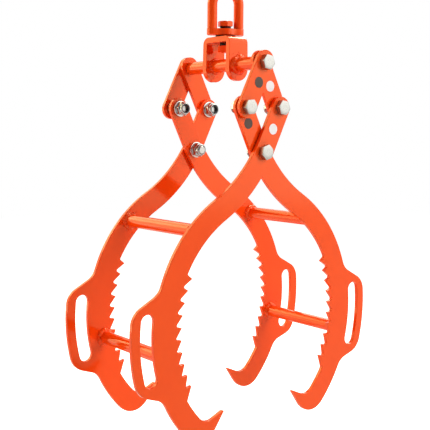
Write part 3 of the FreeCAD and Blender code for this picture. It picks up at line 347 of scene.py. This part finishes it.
def softenEdges(node):
    # The CAD facets are merged into flat faces first, so that only real edges are rounded.
    look = plateLook
    name = node + "_plate"
    shape = bmesh.new()
    shape.from_mesh(nodes[node].data)
    bmesh.ops.remove_doubles(shape, verts=shape.verts, dist=look["mergeGap"] * mm)
    bmesh.ops.dissolve_limit(shape, angle_limit=math.radians(look["flatAngle"]),
                             verts=shape.verts, edges=shape.edges)
    mesh = bpy.data.meshes.new(name)
    shape.to_mesh(mesh)
    shape.free()
    if "custom_normal" in mesh.attributes:
        mesh.attributes.remove(mesh.attributes["custom_normal"])
    mesh.shade_smooth()
    mesh.set_sharp_from_angle(angle=math.radians(sharpAngle))
    mesh.materials.clear()
    mesh.materials.append(materialOf[slotOf[node]])
    piece = bpy.data.objects.new(name, mesh)
    scene.collection.objects.link(piece)
    rounding = piece.modifiers.new("edgeRound", "BEVEL")
    rounding.width = look["edgeRound"] * mm
    rounding.segments = look["edgeSteps"]
    rounding.limit_method = "ANGLE"
    rounding.angle_limit = math.radians(sharpAngle)
    rounding.harden_normals = True
    rounding.use_clamp_overlap = False
    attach(piece, bodyOf[node])
    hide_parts(node)


for node in plateNodes:
    softenEdges(node)
print("plates rounded")


# Fasteners: forged bolts, lock nuts with a nylon insert, and stamped washers.

boltLook = {
    "flats": 24, "headHeight": 10, "crown": 11.6, "cornerShare": 0.995, "slope": 0.40,
    "topRound": 0.35, "topMiddle": 0.5, "bearing": 11.2, "bearingStep": 0.5, "shank": 7.9,
    "pitch": 2.0, "threadDepth": 0.9, "threadLength": 8.0, "tipChamfer": 1.5, "rowsPerPitch": 10,
    # How much less of these bolts stands out of the nut than in the CAD.
    "shorter": {"left_pivot_bolts": 2.5, "right_pivot_bolts": 2.5},
}


def boltShape(length, turn):
    # Hex head, turned about z, top at zero and the shank below. The threaded end is a surface
    # of angle and depth whose radius waves once for each pitch and each turn, as a helix does.
    look = boltLook
    edge = look["topRound"]
    foot = -(look["headHeight"] - look["bearingStep"])
    rows = [
        (look["crown"] * look["topMiddle"], 0, 0), (look["crown"] - edge, 0, 0),
        (look["crown"], -edge * edgeMiddle, 0), (None, -edge * edgeMiddle, 1),
        (None, foot, 0), (look["bearing"], foot, 0),
        (look["bearing"], -look["headHeight"], 0), (look["shank"], -look["headHeight"], 0),
        (look["shank"], -(length - look["threadLength"]), 0),
    ]
    head = turned(rows, look, turn)
    count = int(look["threadLength"] / look["pitch"] * look["rowsPerPitch"])
    depth = np.linspace(0, look["threadLength"], count)[1:, None]
    angle = np.linspace(0, fullTurn, roundSides, endpoint=False)[None, :]
    wave = (1 + np.cos(fullTurn * depth / look["pitch"] - angle)) / 2
    reach = look["shank"] - look["threadDepth"] * wave * np.minimum(1, depth / look["pitch"])
    tip = look["shank"] - (depth - (look["threadLength"] - look["tipChamfer"]))
    reach = np.minimum(reach, np.maximum(tip, look["shank"] - look["tipChamfer"]))
    level = np.broadcast_to(-(length - look["threadLength"]) - depth, reach.shape)
    thread = np.stack([reach * np.cos(angle), reach * np.sin(angle), level], axis=-1)
    return np.concatenate([head, thread])[::-1]


nutLook = {
    "flats": 24, "crown": 11.4, "cornerShare": 0.985, "slope": 0.577, "hexHeight": 11,
    "hexEdge": 0.2, "crownEdge": 0.1, "height": 15.5, "collar": 10.7, "fillet": 0.3, "lip": 9.3,
    "crimp": 1.4, "crimpSteps": 6, "bore": 8.2, "bearing": 11.2, "insertTop": 14.6,
    "insertBottom": 10.4, "insertBore": 6.5, "insertEdge": 0.3, "insertSeat": 0.2,
    # Width and height of the bore's chamfer, and how far in and down the rolled lip's points are.
    "boreChamfer": (0.5, 0.4), "lipCurl": ((0.3, 0.1), (0.5, 0.5)), "lipFoot": 0.4,
}


def lockNutShape(turn):
    # A closed ring about z, seat at zero: hexagon with both ends chamfered, then a round collar
    # whose rim is rolled in over the insert; the crimp is a quarter circle.
    look = nutLook
    width, rise = look["boreChamfer"]
    rows = [
        (look["bore"], rise, 0), (look["bore"] + width, 0, 0), (look["bearing"], 0, 0),
        (None, look["hexEdge"], -1), (None, look["hexHeight"] - look["hexEdge"], 1),
        (look["crown"], look["hexHeight"] - look["crownEdge"], 0),
        (look["collar"] + look["fillet"], look["hexHeight"], 0),
        (look["collar"], look["hexHeight"] + look["fillet"], 0),
    ]
    shoulder = look["collar"] - look["crimp"]
    for bend in np.linspace(0, math.pi / 2, look["crimpSteps"]):
        level = look["height"] - look["crimp"] * (1 - math.sin(bend))
        rows.append((shoulder + look["crimp"] * math.cos(bend), level, 0))
    rows += [(look["lip"] - inward, look["height"] - down, 0) for inward, down in look["lipCurl"]]
    rows += [
        (look["lip"] - look["lipFoot"], look["insertTop"], 0),
        (look["bore"], look["insertTop"] - look["insertSeat"], 0),
    ]
    return turned(rows, look, turn)


plainNutLook = {"chamfer": 0.6, "crownInset": 0.3, "hexEdge": 0.1}


def plainNutShape(height, turn):
    # A closed ring about z, seat at zero: a hexagon with both ends chamfered.
    bore = nutLook["bore"]
    chamfer, edge = plainNutLook["chamfer"], plainNutLook["hexEdge"]
    crown = nutLook["crown"] - plainNutLook["crownInset"]
    rows = [
        (bore, chamfer, 0), (bore + chamfer, 0, 0), (crown, 0, 0),
        (None, edge, -1), (None, height - edge, 1), (crown, height, 0),
        (bore + chamfer, height, 0), (bore, height - chamfer, 0),
    ]
    return turned(rows, nutLook, turn)


def ringShape(inner, outer, height, edge):
    # A flat ring about z with its four edges rounded off.
    middle = edge * edgeMiddle
    rows = [
        (inner, edge, 0), (inner + middle, middle, 0), (inner + edge, 0, 0),
        (outer - edge, 0, 0), (outer - middle, middle, 0), (outer, edge, 0),
        (outer, height - edge, 0), (outer - middle, height - middle, 0), (outer - edge, height, 0),
        (inner + edge, height, 0), (inner + middle, height - middle, 0), (inner, height - edge, 0),
    ]
    return turned(rows)


def asRing(points, place, outward):
    return laid(points, place, outward), gridFaces(*points.shape[:2], closedRows=True)


def asSolid(points, place, outward):
    return laid(points, place, outward), gridFaces(*points.shape[:2])


# How far each front and rear hexagon is turned, in degrees.
headTurns = {
    "apex_bolts": (10, 20), "left_pivot_bolts": (-5, 12), "right_pivot_bolts": (10, -9),
    "crossing_pivot_bolts": (-18, 4),
}
nutTurns = {
    "left_pivot_lock_nuts": (14, 10), "right_pivot_lock_nuts": (3, 22),
    "crossing_pivot_lock_nuts": (-8, 16),
}
# Whether a pair is the rear one, and the ways that its heads and its nuts face.
pairs = ((False, "front", "rear"), (True, "rear", "front"))

for node, turns in headTurns.items():
    parts = []
    for (rear, outward, inward), turn in zip(pairs, turns):
        x, z, outer, inner = ends(node, rear)
        length = abs(inner - outer) - boltLook["shorter"].get(node, 0)
        parts.append(asSolid(boltShape(length, turn), (x, outer, z), outward))
    piece = addPiece(node + "_forged", parts, zincBolt, bodyOf[node])
    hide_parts(node)

for node, turns in nutTurns.items():
    parts = []
    inserts = []
    look = nutLook
    for (rear, outward, inward), turn in zip(pairs, turns):
        x, z, outer, inner = ends(node, rear)
        parts.append(asRing(lockNutShape(turn), (x, outer, z), inward))
        insert = ringShape(look["insertBore"], look["lip"], look["insertTop"] - look["insertBottom"],
                           look["insertEdge"])
        insert[..., 2] += look["insertBottom"]
        inserts.append(asRing(insert, (x, outer, z), inward))
    piece = addPiece(node + "_crimped", parts, brightZinc, bodyOf[node])
    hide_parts(node)
    addPiece(node + "_inserts", inserts, nylonRing, bodyOf[node])

washerLook = {"bore": 8.3, "edge": 0.45}
for node in ("left_pivot_washers", "right_pivot_washers", "crossing_pivot_washers"):
    parts = []
    for rear, outward, inward in pairs:
        x, z, outer, inner = ends(node, rear)
        low, high = solidBox(node, rear)
        ring = ringShape(washerLook["bore"], (high[0] - low[0]) / 2, abs(inner - outer),
                         washerLook["edge"])
        parts.append(asRing(ring, (x, outer, z), inward))
    piece = addPiece(node + "_stamped", parts, stampedZinc, bodyOf[node])
    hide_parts(node)

# The swivel's bolt and nut stand on the z axis and were painted with the bracket.
swivelTurns = {"swivel_bolt": -7, "swivel_nut": -3}
swivelEdges = {"swivel_washer": 0.5, "thrust_washer": 0.6, "swivel_bushing": 0.6}
low, high = (np.array(corner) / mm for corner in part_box("swivel_bolt"))
shape = boltShape(high[2] - low[2], swivelTurns["swivel_bolt"])
piece = addPiece("swivel_bolt_forged", [asSolid(shape, (0, 0, high[2]), "up")],
                 powderCoat, "bracket")
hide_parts("swivel_bolt")
low, high = (np.array(corner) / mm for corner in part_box("swivel_nut"))
shape = plainNutShape(high[2] - low[2], swivelTurns["swivel_nut"])
piece = addPiece("swivel_nut_forged", [asRing(shape, (0, 0, low[2]), "up")],
                 powderCoat, "bracket")
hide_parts("swivel_nut")
for node, edge in swivelEdges.items():
    low, high = (np.array(corner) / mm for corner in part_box(node))
    ring = ringShape(washerLook["bore"], high[0], high[2] - low[2], edge)
    # The near-black of these rings is painted shade for the swivel's gaps.
    piece = addPiece(node + "_turned", [asRing(ring, (0, 0, low[2]), "up")], shadeDarkSwivelSteel,
                     bodyOf[node])
    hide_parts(node)

low, high = solidBox("rear_left_spacer", True)
middle = (low + high) / 2
ring = ringShape(washerLook["bore"], (high[0] - low[0]) / 2, high[1] - low[1], washerLook["edge"])
piece = addPiece("rear_left_spacer_turned", [asRing(ring, (middle[0], low[1], middle[2]), "rear")],
                 brightZinc, "left_links")
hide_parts("rear_left_spacer")
print("fasteners made")


# Weld beads: rings of overlapping ripples, with a little spatter round them.

weldLook = {
    "around": 216, "across": 12, "ripples": 18, "rippleDepth": 1.3, "rippleLean": 0.9,
    "legSpread": 0.24, "bulge": 0.30, "bowShare": 0.7, "hollow": 1.15, "toeEdge": 0.02,
    "sink": 0.4, "sinkShare": 0.5, "footShare": 0.9, "smoothAngle": 60,
    # The swells round a bead: how many, their shift by the bead's phase, and their share.
    "swells": ((3, 1, 0.6), (7, -2, 0.4)),
}
spatterLook = {
    "count": 16, "reach": 9, "nearest": 0.1, "size": (0.6, 1.5), "seatGap": 0.05,
    "sides": 8, "lifts": (0.0, 0.45, 0.8), "flatness": 0.7, "sink": 0.05,
}


def weldBead(radius, leg, phase):
    # A bead about the local z axis, seated on z = 0 round a bar of that radius. Across the bead
    # the surface bulges from the plate's toe to the bar's toe, and its size waves with the angle:
    # slow swells, and one sharp-edged ripple for each step of the torch. The last two rows are
    # the hidden foot, sunk into the bar and the plate.
    look = weldLook
    angle = np.linspace(0, fullTurn, look["around"], endpoint=False)[None, :]
    across = np.linspace(0, 1, look["across"])[:, None]
    waves = [share * np.sin(count * angle + shift * phase) for count, shift, share in look["swells"]]
    swell = 1 + look["legSpread"] * sum(waves)
    ripple = np.abs(np.sin(look["ripples"] / 2 * angle + look["rippleLean"] * across + phase))
    size = leg * swell - look["rippleDepth"] * (1 - ripple) * np.sin(math.pi * across)
    size = size * (1 - look["legSpread"])
    bow = look["bulge"] * leg * np.sin(math.pi * across) * look["bowShare"]
    out = size * (1 - across) ** look["hollow"] + bow
    up = size * across ** look["hollow"] + bow
    reach = radius + np.maximum(out, look["toeEdge"]) - look["toeEdge"]
    rows = [np.stack([reach * np.cos(angle), reach * np.sin(angle), up + 0 * angle], axis=-1)]
    foot = radius - look["sink"]
    for level in (leg * look["footShare"], -look["sink"] * look["sinkShare"]):
        height = np.full(angle.shape, level)
        rows.append(np.stack([foot * np.cos(angle), foot * np.sin(angle), height], axis=-1))
    return np.concatenate(rows)


def spatterDrop(centre, size):
    # A low dome on z = 0: rings of a half ball, flattened a little.
    look = spatterLook
    angle = np.linspace(0, fullTurn, look["sides"], endpoint=False)[None, :]
    lift = np.array(look["lifts"])[:, None] * math.pi / 2
    height = size * look["flatness"] * np.sin(lift) - look["sink"]
    return np.stack([size * np.cos(lift) * np.cos(angle) + centre[0],
                     size * np.cos(lift) * np.sin(angle) + centre[1], height + 0 * angle], axis=-1)


draws = np.random.default_rng(11)
tubeBead = {"radius": 11.5, "leg": 7.2}
outerBarBead = {"radius": 12.0, "leg": 8.5}
innerBarBead = {"radius": 12.0, "leg": 4.5}
bracketLeg = 10.5  # Thickness of the bracket's legs.


def plateTree(node):
    # The surface of a CAD node, to look up how far a point is from it.
    mesh = nodes[node].data
    return BVHTree.FromPolygons([v.co for v in mesh.vertices],
                                [face.vertices for face in mesh.polygons])


def beadParts(x, z, seat, facing, bead, plate):
    # One bead at a seat, and the drops that the torch threw round it, where they meet the plate.
    look = spatterLook
    phase = float(draws.uniform(0, fullTurn))
    parts = [asRing(weldBead(bead["radius"], bead["leg"], phase)[::-1], (x, seat, z), facing)]
    around = np.array([(1, 0, 0), (0, 1, 0), (-1, 0, 0), (0, -1, 0)], dtype=float)
    for k in range(look["count"]):
        away = bead["radius"] + bead["leg"]
        away += float(draws.uniform(look["nearest"], 1)) ** 2 * look["reach"]
        angle = float(draws.uniform(0, fullTurn))
        size = float(draws.uniform(*look["size"]))
        centre = (away * math.cos(angle), away * math.sin(angle))
        rim = laid(around * size + np.array((*centre, 0)), (x, seat, z), facing)
        gaps = [plate.find_nearest(Vector(spot * mm))[3] for spot in rim]
        if max(gaps) < look["seatGap"] * mm:
            parts.append(asSolid(spatterDrop(centre, size), (x, seat, z), facing))
    return parts


def tubeWelds(node, tubes, frontPlate, rearPlate):
    # A bead at both ends of each tube, as one piece.
    beads = []
    for tube in tubes:
        low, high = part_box(tube)
        x = (low.x + high.x) / 2 / mm
        z = (low.z + high.z) / 2 / mm
        seats = ((low.y / mm, "rear", frontPlate), (high.y / mm, "front", rearPlate))
        for seat, facing, plate in seats:
            beads += beadParts(x, z, seat, facing, tubeBead, plateTree(plate))
    piece = addPiece(node + "_beads", beads, weldedCoat, bodyOf[node],
                     weldLook["smoothAngle"])
    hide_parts(node)


tubeWelds("left_tube_welds", ("upper_left_cross_tube", "lower_left_cross_tube"),
          "front_left_jaw", "rear_left_jaw")
tubeWelds("right_tube_welds", ("upper_right_cross_tube", "lower_right_cross_tube"),
          "front_right_jaw", "rear_right_jaw")

low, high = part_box("crossbar")
barZ = (low.z + high.z) / 2 / mm
low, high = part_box("swivel_bracket")
outside = (low.y / mm, high.y / mm)
inside = (outside[0] + bracketLeg, outside[1] - bracketLeg)
plate = plateTree("swivel_bracket")
beads = []
for seat, facing, bead in ((outside[0], "front", outerBarBead), (inside[0], "rear", innerBarBead),
                           (inside[1], "front", innerBarBead), (outside[1], "rear", outerBarBead)):
    beads += beadParts(0, barZ, seat, facing, bead, plate)
piece = addPiece("crossbar_weld_beads", beads, weldedCoat, "bracket",
                 weldLook["smoothAngle"])
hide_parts("crossbar_welds")
print("welds made")


# Studio: a white paper floor and soft lamps.

# Lengths here are metres.
studio = {
    "floorDrop": 0.30, "floorSize": 12.0, "paperGrey": "#E6E6E6", "paperLift": 0.92,
    "paperMirrored": 1.10, "paperTint": "#FFF7EA", "worldStrength": 0.10,
    # Name, place, width and height, watts, colour, and whether reflections show it.
    "lamps": [
        ("rimLamp", (-2.1, 2.2, 0.15), (3.4, 2.8), 74, "#FFEBBE", True),
        ("keyLamp", (1.3, -2.4, 1.0), (2.0, 2.0), 77, "#FFFFFF", False),
        ("topLamp", (1.5, 0.5, 1.8), (1.2, 1.2), 60, "#FFF2D4", True),
        ("backLamp", (-0.5, 2.3, 1.15), (2.6, 1.5), 36, "#FFE9AC", True),
        ("eyeLamp", (-1.6, 0.1, 0.35), (0.6, 0.6), 5, "#FFF4E6", False),
    ],
    # What reflections see of the room: a dim grey, brighter towards each of these directions.
    # Each row is the direction, the cosines where the glow starts and is full, and its strength.
    "roomGrey": 0.10, "roomTint": "#FFFAF0",
    "roomGlows": [
        ((0.70, -0.70, 0.45), 0.50, 1.00, 2.20),
        ((0.605, 0.792, 0.05), 0.50, 0.95, 0.70),
        ((-0.80, -0.55, 0.20), 0.40, 0.95, 0.10),
        ((0.62, 0.45, 0.64), 0.92, 0.97, 5.00),
    ],
    "aim": (0.0, 0.0, -0.35),
}

lowest = cadBox[0].z
floorMesh = bpy.data.meshes.new("floor")
half = studio["floorSize"] / 2
level = lowest - studio["floorDrop"]
corners = [(-half, -half, level), (half, -half, level), (half, half, level), (-half, half, level)]
floorMesh.from_pydata(corners, [], [(0, 1, 2, 3)])
floor = bpy.data.objects.new("floor", floorMesh)
scene.collection.objects.link(floor)

paper, tree, output, place = newMaterial("studioPaper")
# Matt white paper. The camera sees it lifted to white with its shadows kept, and reflections
# see it as an even white, so that the paint shows no dark band below the horizon.
matt = addNode(tree, "ShaderNodeBsdfDiffuse", {"Color": linear(studio["paperGrey"])})
lift = addNode(tree, "ShaderNodeEmission", {"Color": (1, 1, 1, 1), "Strength": studio["paperLift"]})
mirrored = addNode(tree, "ShaderNodeEmission", {"Color": linear(studio["paperTint"]),
                                                "Strength": studio["paperMirrored"]})
both = addNode(tree, "ShaderNodeAddShader", links={0: (matt, 0), 1: (lift, 0)})
ray = addNode(tree, "ShaderNodeLightPath")
choice = addNode(tree, "ShaderNodeMixShader",
                 links={0: (ray, "Is Camera Ray"), 1: (matt, 0), 2: (both, 0)})
choice = addNode(tree, "ShaderNodeMixShader",
                 links={0: (ray, "Is Glossy Ray"), 1: (choice, 0), 2: (mirrored, 0)})
tree.links.new(choice.outputs[0], output.inputs[0])
floorMesh.materials.append(paper)

world = bpy.data.worlds.new("studioAir")
world.use_nodes = True
tree = world.node_tree
tree.nodes.clear()
# The camera sees plain white air, surfaces are lit by a little of it, and reflections see the room.
ray = addNode(tree, "ShaderNodeLightPath")
way = addNode(tree, "ShaderNodeTexCoord")
glow = addNode(tree, "ShaderNodeValue")
glow.outputs[0].default_value = studio["roomGrey"]
for direction, start, full, brightness in studio["roomGlows"]:
    towards = addNode(tree, "ShaderNodeVectorMath",
                      {"operation": "DOT_PRODUCT", 1: Vector(direction).normalized()},
                      {0: (way, "Generated")})
    ramp = addNode(tree, "ShaderNodeMapRange",
                   {"interpolation_type": "SMOOTHSTEP", "From Min": start, "From Max": full,
                    "To Min": 0.0, "To Max": brightness}, {"Value": (towards, "Value")})
    glow = addNode(tree, "ShaderNodeMath", {"operation": "ADD"}, {0: (glow, 0), 1: (ramp, 0)})
seen = addNode(tree, "ShaderNodeMath", {"operation": "MAXIMUM"},
               {0: (ray, "Is Camera Ray"), 1: (ray, "Is Transmission Ray")})
steady = addNode(tree, "ShaderNodeMapRange", {"To Min": studio["worldStrength"], "To Max": 1.0},
                 {"Value": (seen, 0)})
strength = addNode(tree, "ShaderNodeMix", {"data_type": "FLOAT"},
                   {0: (ray, "Is Glossy Ray"), 2: (steady, 0), 3: (glow, 0)})
tint = addNode(tree, "ShaderNodeMix",
               {"data_type": "RGBA", 6: (1, 1, 1, 1), 7: linear(studio["roomTint"])},
               {0: (ray, "Is Glossy Ray")})
sky = addNode(tree, "ShaderNodeBackground", links={"Color": (tint, 2), "Strength": (strength, 0)})
addNode(tree, "ShaderNodeOutputWorld", links={0: (sky, 0)})
scene.world = world

for name, place, size, power, colour, reflected in studio["lamps"]:
    lamp = bpy.data.lights.new(name, "AREA")
    lamp.shape = "RECTANGLE"
    lamp.size, lamp.size_y = size
    lamp.energy = power
    lamp.color = linear(colour)[:3]
    thing = bpy.data.objects.new(name, lamp)
    thing.location = place
    aim = Vector(studio["aim"]) - Vector(place)
    thing.rotation_euler = aim.to_track_quat("-Z", "Y").to_euler()
    thing.visible_glossy = reflected
    scene.collection.objects.link(thing)


# Camera: fitted to the photograph, whose frame is 430 x 430 pixels. The place is in metres.

cameraFit = {
    "place": (-1.0188, -1.20725, -0.24292), "forward": (0.60532, 0.79204, -0.07910), "roll": 0.32,
    "focalPixels": 853.1, "framePixels": 430, "centrePixel": (182.6, 196.7), "sensor": 36,
}
forward = Vector(cameraFit["forward"]).normalized()
right = forward.cross(Vector((0, 0, 1))).normalized()
up = right.cross(forward)
roll = math.radians(cameraFit["roll"])
rolledRight = right * math.cos(roll) + up * math.sin(roll)
rolledUp = up * math.cos(roll) - right * math.sin(roll)
lens = bpy.data.cameras.new("camera")
lens.sensor_width = cameraFit["sensor"]
pixels = cameraFit["framePixels"]
lens.lens = cameraFit["focalPixels"] / pixels * cameraFit["sensor"]
lens.shift_x = (pixels / 2 - cameraFit["centrePixel"][0]) / pixels
lens.shift_y = (cameraFit["centrePixel"][1] - pixels / 2) / pixels
camera = bpy.data.objects.new("camera", lens)
turning = Matrix((rolledRight, rolledUp, -forward)).transposed()
camera.matrix_world = Matrix.Translation(cameraFit["place"]) @ turning.to_4x4()
scene.collection.objects.link(camera)
scene.camera = camera

scene.view_settings.view_transform = "Standard"
print("studio made")
